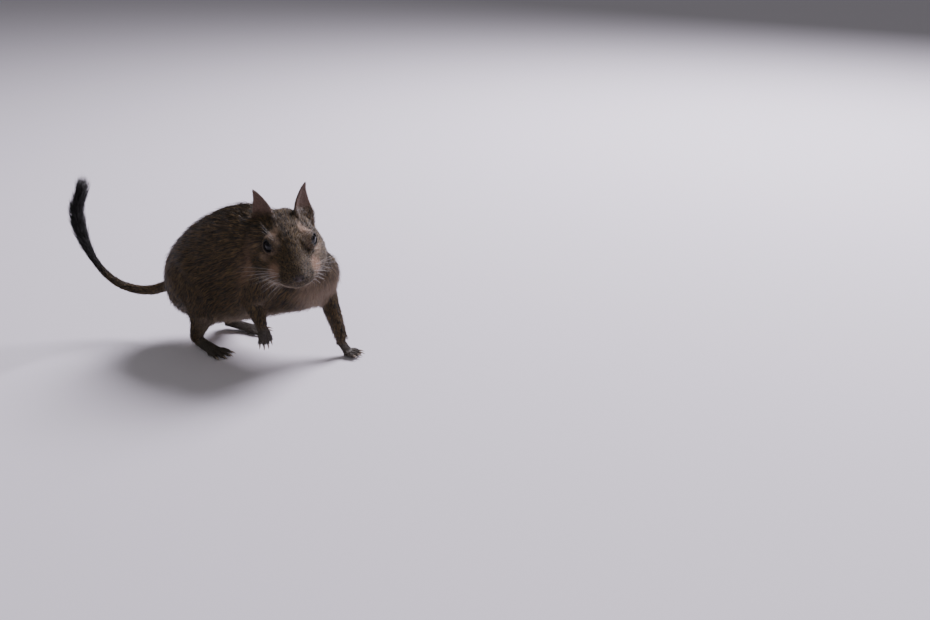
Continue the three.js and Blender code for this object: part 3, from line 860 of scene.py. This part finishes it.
# Whiskers sweep back and down from the pads, and a few stand over each eye.
WHISKER_SIDES = 4
WHISKER_RADII = np.linspace(0.085, 0.015, 9)
BROW_RADII = np.linspace(0.07, 0.012, 7)
BROW_LENGTH = 9
whisker_material = plain_material("whisker", (0.60, 0.56, 0.52), 0.4, 0.5)
whiskers = []
for side in (1, -1):
    for row in range(4):
        for step in range(5):
            seat = np.array([24.0 - 1.9 * step, (6.8 + 1.3 * step) * side, -3.4 - 1.2 * row])
            seat = seat + rng.normal(size=3) * 0.25
            size = (13 + 3.4 * step) * rng.uniform(0.8, 1.2) * (0.8 if side > 0 else 1.0)
            aim = unit(np.array([-0.1 - 0.12 * step, 1.0 * side, 0.0 - 0.28 * row]))
            droop = np.array([-0.5, 0, -0.75 - 0.12 * row])
            s = np.linspace(0, 1, len(WHISKER_RADII))[:, None]
            path = seat - aim * 2.5 + aim * size * s + droop * size * 0.6 * s**2
            path = from_head(path)
            path[:, 2] = np.maximum(path[:, 2], 1.0)
            whiskers.append(strand(path, WHISKER_RADII, WHISKER_SIDES))
    for k in range(3):
        seat = np.array([7.5 - 1.6 * k, 9.4 * side, 11.0])
        aim = unit(np.array([0.1 - 0.35 * k, 0.75 * side, 0.8]))
        s = np.linspace(0, 1, len(BROW_RADII))[:, None]
        path = seat + aim * BROW_LENGTH * s + np.array([-0.6, 0, -0.1]) * 6 * s**2
        whiskers.append(strand(from_head(path), BROW_RADII, WHISKER_SIDES))
add_piece("whiskers", joined("whiskers", whiskers), whisker_material)

# Claws. Each foot has its heel, its ball, and palm width, toe length, spread and drop.
FEET = {
    "hind_foot_right": ([-8, -15, 4.6], [4.2, -18.2, 2.1], (4.6, 11, 0.24, 0.3)),
    "hind_foot_left": ([-10, 19, 4.6], [5.5, 20.5, 2.1], (4.6, 11, 0.24, 0.3)),
    "fore_foot_right": ([38.4, -18.2, 24], [39.8, -18.8, 18.5], (3.7, 7, 0.2, 0.4)),
    "fore_foot_left": ([75, 9, 8.4], [79.5, 9.4, 2.4], (3.7, 7.2, 0.28, 0.3)),
}
TOES = 4
CLAW_RADII = (0.6, 0.56, 0.47, 0.35, 0.2, 0.05)
CLAW_SIDES = 7
PLANTED_HEIGHT = 1.4  # of the toes of a foot on the floor
claw_material = plain_material("claw", (0.30, 0.25, 0.20), 0.35, 0.5)
claws = []
for heel, ball, (palm, toe_length, spread, drop) in FEET.values():
    forward = unit(np.array(ball) - np.array(heel, float))
    across = np.cross([0, 0, 1.0], forward)
    if np.linalg.norm(across) < 0.2:
        across = np.array([0.4, -1, 0])
    across = unit(across)
    planted = ball[2] < 5
    ahead = unit(forward * (1, 1, 0)) if planted else forward
    above = np.cross(ahead, across)
    for toe in range(TOES):
        part = toe / (TOES - 1) * 2 - 1
        aim = unit(ahead + across * part * spread)
        toe_root = np.array(ball) + across * part * (palm - TOE_RADIUS * 0.8) - forward * 1.2
        if planted:
            toe_root = toe_root + [0, 0, PLANTED_HEIGHT - ball[2]]
        toe_tip = toe_root + aim * toe_length * (1 - 0.22 * part**2) - above * drop
        begin = toe_tip + aim * (TOE_RADIUS * 0.4) + above * 0.4
        s = np.linspace(0, 1, len(CLAW_RADII))[:, None]
        path = begin + aim * CLAW_LENGTH * 1.05 * s + above * (0.3 * s - 1.1 * s**2)
        claws.append(strand(path, CLAW_RADII, CLAW_SIDES))
add_piece("claws", joined("claws", claws), claw_material)

# The floor, the light and the camera.

stage_material = plain_material("floor", (0.78, 0.75, 0.80), 0.8, 0.1)
bpy.ops.mesh.primitive_plane_add(size=6, location=(0, 0, 0))
floor = bpy.context.active_object
floor.name = "floor"
floor.data.materials.append(stage_material)


def area_light(name, place, aim, size, power, colour):
    data = bpy.data.lights.new(name, "AREA")
    data.energy = power
    data.size = size
    data.color = colour
    lamp = bpy.data.objects.new(name, data)
    lamp.location = place
    lamp.rotation_euler = (Vector(aim) - Vector(place)).to_track_quat("-Z", "Y").to_euler()
    bpy.context.scene.collection.objects.link(lamp)


area_light("back", (0.38, 0.95, 1.05), (0, 0, 0.05), 0.7, 42, (0.93, 0.88, 1.0))
area_light("fill", (0.3, -1.0, 0.8), (0, 0, 0.05), 1.0, 2.0, (1.0, 0.97, 0.93))
world = bpy.data.worlds.new("studio")
world.use_nodes = True
world.node_tree.nodes["Background"].inputs["Color"].default_value = (0.78, 0.76, 0.80, 1)
world.node_tree.nodes["Background"].inputs["Strength"].default_value = 0.22
bpy.context.scene.world = world

camera_data = bpy.data.cameras.new("camera")
camera_data.lens = CAMERA_LENS
camera_data.sensor_width = 36
camera_data.clip_start = 0.01
camera = bpy.data.objects.new("camera", camera_data)
camera.location = (CAMERA_PLACE + SHIFT) * MM
azimuth, drop = math.radians(CAMERA_AZIMUTH), math.radians(CAMERA_DROP)
look = Vector((-math.sin(azimuth) * math.cos(drop), math.cos(azimuth) * math.cos(drop), -math.sin(drop)))
camera.rotation_euler = look.to_track_quat("-Z", "Y").to_euler()
bpy.context.scene.collection.objects.link(camera)
bpy.context.scene.camera = camera
